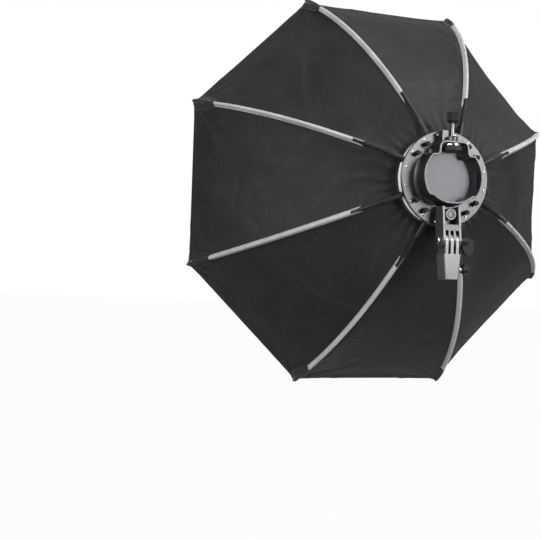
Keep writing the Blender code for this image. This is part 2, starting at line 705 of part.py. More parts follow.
# ---------------------------------------------------------------- assembly
def main():
    clear_scene()
    build_mount_ring()
    build_side_pads()
    build_drum()
    build_front_ring()
    for index in range(SIDES):
        build_release_button(index)
        build_rib_socket(index)
        build_rib_rod(index)
        build_rib_tip(index)
        build_canopy_gore(index)
    build_octagon_panel("front_diffuser", FRONT_PANEL_R, BOX_DEPTH + 0.6 * MM, 2 * MM)
    build_octagon_panel("inner_diffuser", INNER_PANEL_R, INNER_PANEL_DEPTH, 1.5 * MM)
    build_clamp()
    build_tilt_arm()
    build_stand_socket()
    build_tilt_fasteners()
    build_spigot_lock()


main()
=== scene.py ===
"""Visual model of the octagonal softbox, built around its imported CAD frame.

Metres, +Z up, in the frame's own coordinates. "Depth" is the distance in front of the mount ring's
rear face and "height" is the distance behind it. "rho" is a canopy point's radius measured on the
rib line, so that a row of points at one rho runs straight across from rib to rib.
"""
import math

import bmesh
import bpy
import numpy as np
from mathutils import Matrix, Vector, noise


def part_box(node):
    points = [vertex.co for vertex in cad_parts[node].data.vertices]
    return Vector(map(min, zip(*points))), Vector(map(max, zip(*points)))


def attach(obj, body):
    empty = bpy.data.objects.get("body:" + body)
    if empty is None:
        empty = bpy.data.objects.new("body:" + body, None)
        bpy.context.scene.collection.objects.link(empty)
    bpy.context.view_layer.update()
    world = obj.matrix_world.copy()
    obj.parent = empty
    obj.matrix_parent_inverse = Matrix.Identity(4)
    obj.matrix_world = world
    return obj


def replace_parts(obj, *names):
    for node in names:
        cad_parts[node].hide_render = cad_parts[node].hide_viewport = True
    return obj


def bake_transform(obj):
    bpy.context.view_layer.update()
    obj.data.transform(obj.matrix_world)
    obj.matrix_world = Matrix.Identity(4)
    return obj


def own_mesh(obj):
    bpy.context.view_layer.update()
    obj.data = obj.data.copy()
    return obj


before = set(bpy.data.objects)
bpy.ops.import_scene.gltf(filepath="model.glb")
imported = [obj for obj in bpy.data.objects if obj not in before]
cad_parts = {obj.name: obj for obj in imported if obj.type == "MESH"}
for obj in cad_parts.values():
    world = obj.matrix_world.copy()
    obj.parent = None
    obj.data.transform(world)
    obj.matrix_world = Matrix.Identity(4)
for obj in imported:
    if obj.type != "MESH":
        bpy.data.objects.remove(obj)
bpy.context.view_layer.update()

MM = 0.001
SIDES = 8
HALF_SIDE = math.pi / SIDES
LIMIT = math.radians(52)                    # how far the ribs fold

drum_low, drum_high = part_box("hub_drum")
HUB = np.array([0.0, -15 * MM, (drum_low[2] + drum_high[2]) / 2])
ARC_R, ARC_C = 481.9 * MM, (-105.4 * MM, 458.8 * MM)    # a rod's arc: its radius, and its centre as radius and depth
HINGE = (60.1 * MM, 8.2 * MM)               # a rib's hinge, as radius and depth
NECK_R, NECK_DEPTH = 63.5 * MM, 18.6 * MM
RIM_DEPTH = 242 * MM
FRONT_DEPTH = 243.2 * MM                    # of the front diffuser
EYE = (0.562, 1.012, -0.012)                # the photograph's camera
CLOTH_THICK = 0.5 * MM
HEM = 8.6 * MM                              # width of the canopy's bound edge
STITCH = 3.4 * MM                           # one stitch and the gap after it


# ---- places
def rib_angle(index):
    return HALF_SIDE + index * 2 * HALF_SIDE


def outward(angle):
    return np.array([math.cos(angle), 0.0, math.sin(angle)])


def around(angle):
    return np.array([-math.sin(angle), 0.0, math.cos(angle)])


def hub_point(radius, angle, depth):
    return HUB + outward(angle) * radius - np.array([0, depth, 0])


def arc_depth(radius, inside=0.0):
    across = radius - ARC_C[0]
    return ARC_C[1] - np.sqrt((ARC_R - inside) ** 2 - across ** 2)


def mm(*values):
    """Numbers or pairs of numbers given in millimetres, in metres."""
    return [tuple(p * MM for p in v) if isinstance(v, tuple) else v * MM for v in values]


def smooth(low, high, x):
    t = np.clip((x - low) / (high - low), 0, 1)
    return t * t * (3 - 2 * t)


def rod_frame(radius, angle):
    """Rod centre, and the direction out of the cloth."""
    depth = float(arc_depth(radius))
    normal = (outward(angle) * (radius - ARC_C[0]) + np.array([0, 1, 0]) * (ARC_C[1] - depth)) / ARC_R
    return hub_point(radius, angle, depth), normal


# ---- mesh helpers
def link_object(name, data):
    item = bpy.data.objects.new(name, data)
    bpy.context.scene.collection.objects.link(item)
    return item


def new_mesh(name, verts, faces, mats, face_mats=None):
    """A smooth shaded mesh, and the vertex at each of its face corners."""
    mesh = bpy.data.meshes.new(name)
    mesh.from_pydata(verts, [], faces)
    for mat in mats:
        mesh.materials.append(mat)
    if face_mats is not None:
        mesh.polygons.foreach_set("material_index", np.asarray(face_mats, np.int32))
    mesh.shade_smooth()
    loop_vert = np.zeros(len(mesh.loops), np.int32)
    mesh.loops.foreach_get("vertex_index", loop_vert)
    return mesh, loop_vert


def set_uv(mesh, values):
    layer = mesh.uv_layers.new(name="UVMap")
    layer.data.foreach_set("uv", np.asarray(values, np.float32).ravel())


def set_points(mesh, name, values):
    """Stores one number per vertex for the materials to read."""
    store = mesh.attributes.new(name, "FLOAT", "POINT")
    store.data.foreach_set("value", np.asarray(values, np.float32))


def make_object(name, verts, faces, mats, face_mats=None, uv=None):
    """A smooth shaded mesh object. uv is per vertex."""
    mesh, loop_vert = new_mesh(name, [tuple(map(float, v)) for v in verts], faces, mats, face_mats)
    if uv is not None:
        set_uv(mesh, np.asarray(uv)[loop_vert])
    mesh.update()
    return link_object(name, mesh)


def face_outward(item, angle):
    """Turns every face outward and keeps edges sharp above an angle in degrees."""
    bm = bmesh.new()
    bm.from_mesh(item.data)
    bmesh.ops.recalc_face_normals(bm, faces=bm.faces)
    bm.to_mesh(item.data)
    bm.free()
    item.data.shade_smooth()
    item.data.set_sharp_from_angle(angle=math.radians(angle))
    return item


def quad_rows(rows, cols, base=0):
    """Quads between rows of points that each close on themselves."""
    return [(base + r * cols + c, base + r * cols + (c + 1) % cols, base + (r + 1) * cols + (c + 1) % cols,
             base + (r + 1) * cols + c) for r in range(rows - 1) for c in range(cols)]


class Parts:
    """Collects several closed shapes into one mesh."""
    def __init__(self):
        self.verts, self.faces, self.mats, self.uv = [], [], [], []

    def add(self, verts, faces, mat=0, uv=None):
        base = len(self.verts)
        self.verts += [tuple(v) for v in verts]
        self.faces += [tuple(base + i for i in f) for f in faces]
        self.mats += [mat] * len(faces)
        self.uv += [tuple(p) for p in uv] if uv is not None else [(0.0, 0.0)] * len(verts)

    def turned(self, profile, origin, axis, steps, squeeze=None):
        """A solid of revolution from (radius, distance along the axis) pairs, both ends on the axis."""
        axis = Vector(axis).normalized()
        side = axis.orthogonal().normalized()
        other = axis.cross(side)
        verts, rings = [], []
        turns = [2 * math.pi * k / steps for k in range(steps)]
        for radius, along in profile:
            centre = Vector(origin) + axis * along
            ring = turns if radius > 0 else [0.0]
            rings.append([len(verts) + k for k in range(len(ring))])
            for turn in ring:
                r = radius * (squeeze(turn, along) if squeeze else 1.0)
                verts.append(centre + (side * math.cos(turn) + other * math.sin(turn)) * r)
        faces = []
        for a, b in zip(rings, rings[1:]):
            for k in range(steps):
                n = (k + 1) % steps
                if len(a) == 1:
                    faces.append((a[0], b[n], b[k]))
                elif len(b) == 1:
                    faces.append((a[k], a[n], b[0]))
                else:
                    faces.append((a[k], a[n], b[n], b[k]))
        self.add(verts, faces)

    def tube(self, points, radius, steps=8, mat=0):
        """A round bar along a line of points, with flat ends."""
        points = [Vector(p) for p in points]
        verts, rings, side = [], [], None
        turns = [2 * math.pi * i / steps for i in range(steps)]
        for k, p in enumerate(points):
            way = (points[min(k + 1, len(points) - 1)] - points[max(k - 1, 0)]).normalized()
            side = way.orthogonal() if side is None else side - way * side.dot(way)
            side.normalize()
            other = way.cross(side)
            rings.append([len(verts) + i for i in range(steps)])
            verts += [p + (side * math.cos(t) + other * math.sin(t)) * radius for t in turns]
        faces = [(a[i], a[(i + 1) % steps], b[(i + 1) % steps], b[i])
                 for a, b in zip(rings, rings[1:]) for i in range(steps)]
        self.add(verts, faces + [tuple(rings[0][::-1]), tuple(rings[-1])], mat)

    def strip(self, grid, uv):
        """A closed skin: rows of points, each row a closed outline, with capped ends."""
        rows, cols = len(grid), len(grid[0])
        ends = [tuple(range(cols))[::-1], tuple((rows - 1) * cols + i for i in range(cols))]
        self.add([p for row in grid for p in row], quad_rows(rows, cols) + ends, 0, uv)

    def finish(self, name, mats, angle=35):
        return face_outward(make_object(name, self.verts, self.faces, mats, self.mats, self.uv), angle)


# ---- materials
class Value:
    """A node's output. Arithmetic on it adds Math nodes."""
    def __init__(self, nodes, socket):
        self.nodes, self.socket = nodes, socket

    def __add__(self, other):
        return self.nodes.math("ADD", self, other)

    def __sub__(self, other):
        return self.nodes.math("SUBTRACT", self, other)

    def __mul__(self, other):
        return self.nodes.math("MULTIPLY", self, other)

    def __truediv__(self, other):
        return self.nodes.math("DIVIDE", self, other)

    def __abs__(self):
        return self.nodes.math("ABSOLUTE", self)


class Nodes:
    """Short calls for the nodes of one tree."""
    def __init__(self, tree):
        self.tree = tree

    def set(self, made, inputs):
        """Sets or links inputs given by name, or by place as i0, i1 and so on."""
        for key, value in inputs.items():
            socket = made.inputs[int(key[1:]) if key[1:].isdigit() else key.replace("_", " ")]
            if isinstance(value, Value):
                self.tree.links.new(value.socket, socket)
            else:
                socket.default_value = value

    def node(self, kind, settings=None, out=0, **inputs):
        made = self.tree.nodes.new("ShaderNode" + kind)
        for key, value in (settings or {}).items():
            setattr(made, key, value)
        self.set(made, inputs)
        return Value(self, made.outputs[out]) if made.outputs else made

    def math(self, operation, a, b=0.0, c=0.0):
        return self.node("Math", {"operation": operation}, i0=a, i1=b, i2=c)

    def axis(self, where, name):
        return self.node("SeparateXYZ", out=name, i0=where)

    def place(self, uv=False):
        if uv:
            return self.node("UVMap", {"uv_map": "UVMap"})
        return self.node("TexCoord", out="Object")

    def noise(self, where, size, detail=3.0, roughness=0.5, stretch=None, distortion=0.0):
        """Noise from 0 to 1 whose blobs are about size metres across."""
        if stretch:
            where = self.node("Mapping", i0=where, i3=stretch)
        return self.node("TexNoise", i2=1.0 / size, i3=detail, i4=roughness, i8=distortion, i0=where)

    def ramp(self, value, low, high, to_low=0.0, to_high=1.0):
        return self.node("MapRange", {"interpolation_type": "SMOOTHSTEP"}, i0=value, i1=low, i2=high,
                         i3=to_low, i4=to_high)

    def mix(self, factor, a, b, blend="MIX"):
        return self.node("Mix", {"data_type": "RGBA", "blend_type": blend}, out=2, i0=factor,
                         i6=(*a, 1) if isinstance(a, tuple) else a,
                         i7=(*b, 1) if isinstance(b, tuple) else b)

    def grid(self, where, period, width, soft):
        """1 on the lines of a square grid, 0 between them."""
        low, high = (0.5 - w / period / 2 for w in (width + soft, width - soft))
        cells = [self.math("FRACT", self.axis(where, name) / period) for name in "XY"]
        return self.math("MAXIMUM", *(self.ramp(abs(cell - 0.5), low, high) for cell in cells))

    def weave(self, where, period):
        """Plain weave height: over and under in alternating cells."""
        over, under = (self.math("SINE", self.axis(where, name) * (math.pi / period)) for name in "XY")
        return over * under

    def dashes(self, along, length):
        """1 on the threads of a row of stitches, 0 in the gaps between them."""
        return self.ramp(abs(self.math("FRACT", along / length) - 0.5), 0.34, 0.44, 1.0, 0.0)

    def attribute(self, name):
        return self.node("Attribute", {"attribute_name": name}, out="Fac")

    def bump(self, height, distance, strength):
        return self.node("Bump", i0=strength, i1=distance, Height=height)


class Mat(Nodes):
    """A node material with a Principled shader."""
    def __init__(self, name, **inputs):
        self.mat = bpy.data.materials.new(name)
        self.mat.use_nodes = True
        super().__init__(self.mat.node_tree)
        self.shader = self.tree.nodes["Principled BSDF"]
        self.set(self.shader, inputs)

    def blend_in(self, factor, other):
        """Mixes another shader over the Principled one."""
        blend = self.node("MixShader", i0=factor, i1=Value(self, self.shader.outputs[0]), i2=other)
        self.set(self.tree.nodes["Material Output"], {"Surface": blend})

    def finish(self, **inputs):
        self.set(self.shader, inputs)
        return self.mat


def ripstop():
    """Black coated ripstop: a square of thicker threads over a fine plain weave."""
    m = Mat("ripstop_black", Specular_IOR_Level=0.17, Sheen_Weight=0.06, Sheen_Roughness=0.4,
            Sheen_Tint=(0.86, 0.88, 0.92, 1.0))
    uv, where = m.place(uv=True), m.place()
    threads = m.grid(uv, 4.4 * MM, 0.55 * MM, 0.22 * MM)
    weave = m.weave(uv, 0.55 * MM)
    slub = m.noise(uv, 1.3 * MM, 2, 0.6, stretch=(1.0, 0.35, 1.0))
    blotch = m.noise(where, 110 * MM, 4, 0.55)
    dust = m.noise(where, 7 * MM, 5, 0.65)
    colour = m.mix(m.ramp(blotch, 0.3, 0.7), (0.0085, 0.0086, 0.0091), (0.0145, 0.0146, 0.0153))
    colour = m.mix(m.ramp(dust, 0.45, 0.8) * 0.3, colour, (0.030, 0.030, 0.031))
    rubbed = (0.036, 0.0365, 0.038)
    colour = m.mix(threads * 0.4, colour, rubbed)
    colour = m.mix(m.attribute("wear") * 0.25, colour, rubbed)
    stitch = stitch_mask(m, uv, m.attribute("rim"), HEM - 1.2 * MM)
    colour = m.mix(stitch, colour, (0.036, 0.036, 0.037))
    height = weave * 0.10 + threads * 0.55 + slub * 0.35 + stitch
    return m.finish(Base_Color=colour, Roughness=m.ramp(blotch, 0.25, 0.75, 0.50, 0.66),
                    Normal=m.bump(height, 0.22 * MM, 0.8))


def stitch_mask(m, uv, across, at):
    """Thread dashes along U where the value across passes through at."""
    return m.ramp(abs(across - at), 0.25 * MM, 0.5 * MM, 1.0, 0.0) * m.dashes(m.axis(uv, "X"), STITCH)


def silver():
    """Silver coating on the inner side of the ripstop, which shows the thread grid and creases."""
    m = Mat("silver_lining", Metallic=0.55, Specular_IOR_Level=0.5)
    uv, where = m.place(uv=True), m.place()
    threads = m.grid(uv, 4.4 * MM, 0.6 * MM, 0.25 * MM)
    cloud = m.noise(where, 45 * MM, 4, 0.6)
    colour = m.mix(m.ramp(cloud, 0.3, 0.7), (0.56, 0.57, 0.585), (0.66, 0.67, 0.685))
    colour = m.mix(threads * 0.35, colour, (0.46, 0.47, 0.48))
    return m.finish(Base_Color=colour, Roughness=m.ramp(cloud, 0.3, 0.7, 0.34, 0.50),
                    Normal=m.bump(threads + cloud * 2.0, 0.2 * MM, 0.7))


def webbing(name, dark, light, rib, stitch_at):
    """Woven tape: ribs across its run, a row of stitches near each edge, grime along its length."""
    m = Mat(name, Specular_IOR_Level=0.3, Sheen_Weight=0.15, Sheen_Roughness=0.4)
    uv, where = m.place(uv=True), m.place()
    across, along = m.axis(uv, "X"), m.axis(uv, "Y")
    warp = m.math("SINE", across * (2 * math.pi / (0.9 * MM)))
    weft = m.math("SINE", along * (2 * math.pi / rib))
    fuzz = m.noise(where, 1.6 * MM, 4, 0.65)
    grime = m.noise(where, 38 * MM, 4, 0.6)
    colour = m.mix(m.ramp(grime, 0.32, 0.68), dark, light)
    colour = m.mix(m.ramp(fuzz, 0.4, 0.8) * 0.25, colour, tuple(c * 0.72 for c in dark))
    stitch = m.ramp(abs(abs(across) - stitch_at), 0.25 * MM, 0.5 * MM, 1.0, 0.0) * m.dashes(along, 3.2 * MM)
    colour = m.mix(stitch * 0.6, colour, tuple(c * 0.5 for c in dark))
    height = warp * 0.35 + weft * 0.5 + fuzz * 0.8 - stitch * 1.5
    return m.finish(Base_Color=colour, Roughness=m.ramp(fuzz, 0.3, 0.7, 0.62, 0.82),
                    Normal=m.bump(height, 0.22 * MM, 0.8))


def plastic(name, dark, light, grain, rough, depth, specular=0.5, rub=0.35):
    """Moulded plastic: spark-eroded grain, faint flow marks, scuffs where hands and cloth rub."""
    m = Mat(name, Specular_IOR_Level=specular)
    where = m.place()
    texture = m.noise(where, grain, 4, 0.7)
    flow = m.noise(where, 22 * MM, 3, 0.5, stretch=(1.0, 0.4, 1.0))
    scratch = m.noise(where, 5 * MM, 6, 0.75, stretch=(1.0, 5.0, 0.6), distortion=0.6)
    scuff = m.ramp(scratch, 0.60, 0.78)
    colour = m.mix(m.ramp(flow, 0.3, 0.7), dark, light)
    colour = m.mix(scuff * rub, colour, tuple(min(1.0, c * 1.7 + 0.02) for c in light))
    roughness = m.ramp(texture, 0.3, 0.7, rough - 0.06, rough + 0.06) + scuff * 0.12
    height = texture + scuff * -0.25
    return m.finish(Base_Color=colour, Roughness=roughness, Normal=m.bump(height, depth, 0.9))


def metal(name, colour, rough):
    """Plated or turned metal with fine tool marks and a little tarnish."""
    m = Mat(name, Metallic=1.0)
    where = m.place()
    marks = m.noise(where, 2.5 * MM, 4, 0.7, stretch=(1.0, 1.0, 14.0))
    stain = m.noise(where, 9 * MM, 4, 0.6)
    base = m.mix(m.ramp(stain, 0.35, 0.75), colour, tuple(c * 0.8 for c in colour))
    return m.finish(Base_Color=base, Roughness=m.ramp(marks, 0.3, 0.7, rough - 0.06, rough + 0.10),
                    Normal=m.bump(marks, 0.02 * MM, 0.6))


def rubber():
    m = Mat("rubber_black", Specular_IOR_Level=0.35)
    where = m.place()
    pits = m.noise(where, 0.9 * MM, 4, 0.7)
    bloom = m.noise(where, 14 * MM, 4, 0.6)
    colour = m.mix(m.ramp(bloom, 0.35, 0.75), (0.012, 0.012, 0.012), (0.026, 0.026, 0.027))
    return m.finish(Base_Color=colour, Roughness=m.ramp(bloom, 0.3, 0.7, 0.62, 0.82),
                    Normal=m.bump(pits, 0.08 * MM, 0.7))


def lacquer():
    """Black lacquer on the spring rods, worn to brown steel in fine rings."""
    m = Mat("rod_lacquer", Metallic=0.25, Specular_IOR_Level=0.5)
    where = m.place()
    wear = m.ramp(m.noise(where, 6 * MM, 5, 0.7), 0.62, 0.80)
    orange = m.noise(where, 1.2 * MM, 3, 0.6)
    colour = m.mix(wear * 0.6, (0.014, 0.014, 0.015), (0.085, 0.080, 0.074))
    return m.finish(Base_Color=colour, Roughness=m.ramp(orange, 0.3, 0.7, 0.28, 0.42),
                    Normal=m.bump(orange, 0.03 * MM, 0.7))


def diffuser_cloth(name, border, through):
    """White diffuser cloth that glows from behind, with a dark tape border where the rim value is small."""
    m = Mat(name, Specular_IOR_Level=0.25, Sheen_Weight=0.1, Roughness=0.85)
    uv, where = m.place(uv=True), m.place()
    weave = m.weave(uv, 0.8 * MM)
    slub = m.noise(uv, 2.2 * MM, 3, 0.6, stretch=(1.0, 0.3, 1.0))
    cloud = m.noise(where, 70 * MM, 4, 0.55)
    rim = m.attribute("rim")
    tape = m.ramp(rim, border - 0.5 * MM, border + 0.5 * MM, 1.0, 0.0)
    white = m.mix(m.ramp(cloud, 0.3, 0.7), (0.78, 0.79, 0.80), (0.84, 0.845, 0.85))
    white = m.mix(m.ramp(slub, 0.4, 0.75) * 0.25, white, (0.70, 0.71, 0.73))
    pile = m.noise(uv, 0.9 * MM, 4, 0.8)
    black = m.mix(m.ramp(pile, 0.35, 0.7), (0.010, 0.010, 0.011), (0.040, 0.040, 0.042))
    stitch = m.math("MAXIMUM", *(stitch_mask(m, uv, rim, at) for at in (border - 2.2 * MM, 2.4 * MM)))
    black = m.mix(stitch, black, (0.10, 0.10, 0.105))
    colour = m.mix(tape, white, black)
    normal = m.bump(weave * 0.3 + slub + tape * (pile * 3.0), 0.15 * MM, 0.6)
    glow = m.node("BsdfTranslucent", Color=m.mix(tape, (0.80, 0.80, 0.83), (0.01, 0.01, 0.01)), Normal=normal)
    m.blend_in(m.ramp(rim, border - 0.5 * MM, border + 0.5 * MM, 0.02, through), glow)
    return m.finish(Base_Color=colour, Normal=normal)


CLOTH, LINING = ripstop(), silver()
SLEEVE = webbing("sleeve_grey", (0.37, 0.37, 0.375), (0.46, 0.46, 0.465), 1.5 * MM, 3.1 * MM)
TAPE = webbing("tape_black", (0.009, 0.009, 0.0095), (0.016, 0.016, 0.017), 1.1 * MM, 5.0 * MM)
RING = plastic("ring_texture", (0.005, 0.0051, 0.0054), (0.009, 0.0092, 0.0096), 0.7 * MM, 0.38, 0.09 * MM, 0.76)
SATIN = plastic("satin_black", (0.011, 0.011, 0.0115), (0.017, 0.017, 0.0178), 0.5 * MM, 0.44, 0.05 * MM, 0.4)
# The tilt arm and the stand socket are black plastic like the knobs. Their lighter grey bases below are painted
# highlight, standing in for the lamp's reflection on their faces.
BRACKET_PAINTED_HIGHLIGHT = plastic("bracket_black_painted_highlight", (0.030, 0.0302, 0.031), (0.042, 0.0422, 0.0435), 0.5 * MM, 0.37, 0.04 * MM, 0.7)
SOCKET_PAINTED_HIGHLIGHT = plastic("socket_block_painted_highlight", (0.050, 0.0503, 0.052), (0.070, 0.0705, 0.072), 0.5 * MM, 0.31, 0.03 * MM, 1.0)
GRIP = plastic("grip_black", (0.008, 0.008, 0.0085), (0.013, 0.013, 0.0135), 0.6 * MM, 0.56, 0.07 * MM, 0.2)
WHITE = plastic("drum_white", (0.80, 0.81, 0.82), (0.86, 0.865, 0.87), 0.8 * MM, 0.38, 0.02 * MM, rub=0.1)
RUBBER, ROD = rubber(), lacquer()
STEEL = metal("plated_steel", (0.70, 0.70, 0.715), 0.20)
BRASS = metal("turned_brass", (0.76, 0.58, 0.27), 0.28)


# ---- canopy surface
HALF_COLS = 44
COLS = 2 * SIDES * HALF_COLS
BANDS = mm(63.5, 74, 91, 111, 135, 162, 192, 224, 256, 288)
ROD_GAP = (mm(63.5, 92, 110, 300, 312, 330), mm(3.4, 3.4, 2.0, 2.0, 3.2, 3.2))


def below_rod(rho):
    """How far the cloth's outer face lies under the rod's centre line."""
    return np.interp(rho, *ROD_GAP)


def cloth_depth(rho):
    """Depth of the cloth on the rib line, with a soft run-in at the neck."""
    start, join = NECK_R, 86 * MM
    rho = np.asarray(rho, float)
    body = arc_depth(np.maximum(rho, join), below_rod(np.maximum(rho, join)))
    end = float(arc_depth(join, 3.4 * MM))
    slope = (join - ARC_C[0]) / (ARC_C[1] - end)
    t = np.clip((rho - start) / (join - start), 0, 1)
    neck = (NECK_DEPTH * (2 * t ** 3 - 3 * t ** 2 + 1) + end * (3 * t ** 2 - 2 * t ** 3)
            + (join - start) * slope * (t ** 3 - t ** 2))
    return np.where(rho < join, neck, body)


def rim_rho():
    low, high = 300 * MM, 330 * MM
    for _ in range(40):
        middle = (low + high) / 2
        low, high = (middle, high) if cloth_depth(middle) < RIM_DEPTH else (low, middle)
    return (low + high) / 2


RIM_RHO = rim_rho()
BANDS.append(RIM_RHO)


def cloth_rows():
    """rho of every row of points. Band edges and the hem's steps fall on rows."""
    fine = np.linspace(NECK_R, RIM_RHO, 4000)
    depth = cloth_depth(fine)
    run = np.concatenate([[0], np.cumsum(np.hypot(np.diff(fine), np.diff(depth)))])
    marks = [float(np.interp(b, fine, run)) for b in BANDS]
    total = marks[-1]
    step = total - HEM
    stops = marks[:-1] + [step - 0.5 * MM, step, step + 0.5 * MM, total - 1.2 * MM, total - 0.4 * MM, total]
    rows = []
    for low, high in zip(stops, stops[1:]):
        count = max(1, round((high - low) / (3.0 * MM)))
        rows += [low + (high - low) * k / count for k in range(count)]
    rows.append(total)
    edges = [int(np.argmin(np.abs(np.array(rows) - m))) for m in marks]
    return np.array(rows), np.interp(rows, run, fine), edges


RUN, RHO, EDGES = cloth_rows()
TOTAL = RUN[-1]


def sag_amount(rho):
    """How far the cloth hangs in, half way between two ribs."""
    return np.interp(rho, mm(63.5, 84, 130, 200, 270) + [RIM_RHO], mm(0, 3.2, 5.6, 6.2, 4.6, 1.6))


def blobs(points, size, seed, stretch=1.0):
    """Smooth noise from -1 to 1 at (n, 3) points, whose blobs are about size metres across."""
    points = points * [1 / size, 1 / (size * stretch), 1.0]
    return np.array([noise.noise(Vector((p[0] + seed, p[1] - seed * 0.7, p[2]))) for p in points])


def cloth_relief(gore, x, reach, run, rho):
    """Displacement of the cloth out of its smooth shape, and a 0 to 1 wear value along creases."""
    half = rho * math.sin(HALF_SIDE)
    flat = np.stack([x, run, gore * 1.7], -1)
    away = smooth(1.5 * MM, 11 * MM, reach)
    to_rim = TOTAL - run
    sag = -sag_amount(rho) * (lambda f: f * (2 - f))(np.clip(reach / half, 0, 1))

    def at(size, seed, stretch=1.0):
        return blobs(flat, size, seed, stretch)

    neck = smooth(2 * MM, 14 * MM, run)
    rim_hold = 0.35 + 0.65 * smooth(4 * MM, 30 * MM, to_rim)
    swell = 2.6 * MM * at(105 * MM, 3.1) + 1.5 * MM * at(52 * MM, 8.4, 1.6)
    crumple = 0.42 * MM * at(19 * MM, 5.2) + 0.20 * MM * at(9.5 * MM, 9.9)
    patch = smooth(-0.1, 0.5, at(60 * MM, 21.0))
    creases, wear = np.zeros(len(x)), np.zeros(len(x))
    for size, seed, stretch, deep in ((110 * MM, 12.5, 1.6, 0.8 * MM), (150 * MM, 17.7, 0.45, 0.9 * MM),
                                      (62 * MM, 30.3, 1.3, 0.45 * MM)):
        value = at(size, seed, stretch)
        line = np.clip(1 - np.abs(value) * 7.5, 0, 1) ** 2
        keep = smooth(-0.35, 0.35, at(70 * MM, seed + 5))
        side = np.clip(at(300 * MM, seed + 9) * 5 + 0.4, -1, 1)
        creases += deep * line * keep * side
        wear = np.maximum(wear, line * keep * 0.8)
    corner = np.hypot(reach, to_rim)
    turn = np.arctan2(to_rim, np.maximum(reach, 1e-6))
    wobble = 0.5 * at(40 * MM, 41.0)
    side_seed = gore * 2.4 + np.where(x > 0, 1.3, 0.0)
    fan = np.cos(11 * turn + side_seed + wobble) * 0.6 + np.cos(19 * turn + 2 * side_seed - wobble) * 0.4
    folds = (1.7 * MM * fan * smooth(6 * MM, 28 * MM, corner) * np.exp(-corner / (52 * MM))
             * np.sin(2 * turn) ** 0.7)
    spread = x / np.maximum(half, 1e-6)
    gathers = (np.cos(spread * 13.5 + at(30 * MM, 50.0) * 3.0 + gore) * 1.5 * MM
               * smooth(3 * MM, 14 * MM, run) * np.exp(-run / (30 * MM)))
    pucker = (0.42 * MM * np.sin(run / (11 * MM) * 2 * math.pi + 4 * at(30 * MM, 60.0) + gore)
              * smooth(4 * MM, 8 * MM, reach) * np.exp(-reach / (11 * MM)) * smooth(30 * MM, 60 * MM, run))
    edge_wave = 0.8 * MM * at(42 * MM, 71.0) * (1 - smooth(0, 26 * MM, to_rim)) * away
    loose = (swell * rim_hold + crumple * (0.5 + 0.9 * patch) + creases) * neck
    total = sag + (loose + folds + gathers) * away + pucker + edge_wave
    return total, np.clip(wear * away * neck, 0, 1)


def rib_columns():
    """For each column: share of the way from its rib to mid gore, side of the rib, rib and gore."""
    step = np.tile(np.arange(-HALF_COLS, HALF_COLS), SIDES)
    t = abs(step) / HALF_COLS
    return 0.35 * t + 0.65 * t * t, np.where(step < 0, -1, 1), np.repeat(np.arange(SIDES), 2 * HALF_COLS)


def unit(angle):
    return np.stack([np.cos(angle), np.sin(angle)], -1)


def octagon(share, side, rib):
    """Points on the sides of an octagon whose corners are 1 from its centre."""
    chord = unit(rib_angle(rib) + side * HALF_SIDE) * math.cos(HALF_SIDE)
    return unit(rib_angle(rib)) * (1 - share)[:, None] + chord * share[:, None]


def canopy_surface():
    share, side, rib = rib_columns()
    rho, run = RHO[:, None], RUN[:, None]
    straight = np.interp(rho, mm(63.5, 72, 86, 105), [0, 0.35, 0.7, 1.0])[..., None]
    arc = unit(rib_angle(rib) + side * HALF_SIDE * share)
    plan = (arc[None] * (1 - straight) + octagon(share, side, rib)[None] * straight) * rho[..., None]
    points = np.zeros((len(RHO), COLS, 3))
    points[..., 0] = HUB[0] + plan[..., 0]
    points[..., 1] = HUB[1] - cloth_depth(RHO)[:, None]
    points[..., 2] = HUB[2] + plan[..., 1]
    half = rho * math.sin(HALF_SIDE)
    reach = half * share[None]
    x = -side[None] * (half - reach)
    gore = np.where(side > 0, rib, (rib - 1) % SIDES)
    shape = points.shape[:2]
    spread = [np.broadcast_to(v, shape).ravel() for v in (gore[None], x, reach, run, rho)]
    relief, wear = cloth_relief(*spread)
    normal = surface_normals(points)
    points = points + normal * relief.reshape(shape)[..., None]
    normal = surface_normals(points)
    return points, normal, x, wear.reshape(shape)


def surface_normals(points):
    """Normals of a closed loop of columns, pointing out of the box."""
    across = np.roll(points, -1, 1) - np.roll(points, 1, 1)
    along = np.gradient(points, axis=0)
    normal = np.cross(along, across)
    normal /= np.linalg.norm(normal, axis=-1, keepdims=True)
    out = points - HUB
    out[..., 1] = 0
    if (normal * out).sum() < 0:
        normal = -normal
    return normal


def grid_faces(rows, cols, flip, base=0):
    quads = [(a, a + 1, a + cols + 1, a + cols) for r in range(rows - 1)
             for a in range(base + r * cols, base + (r + 1) * cols - 1)]
    return [quad[::-1] for quad in quads] if flip else quads


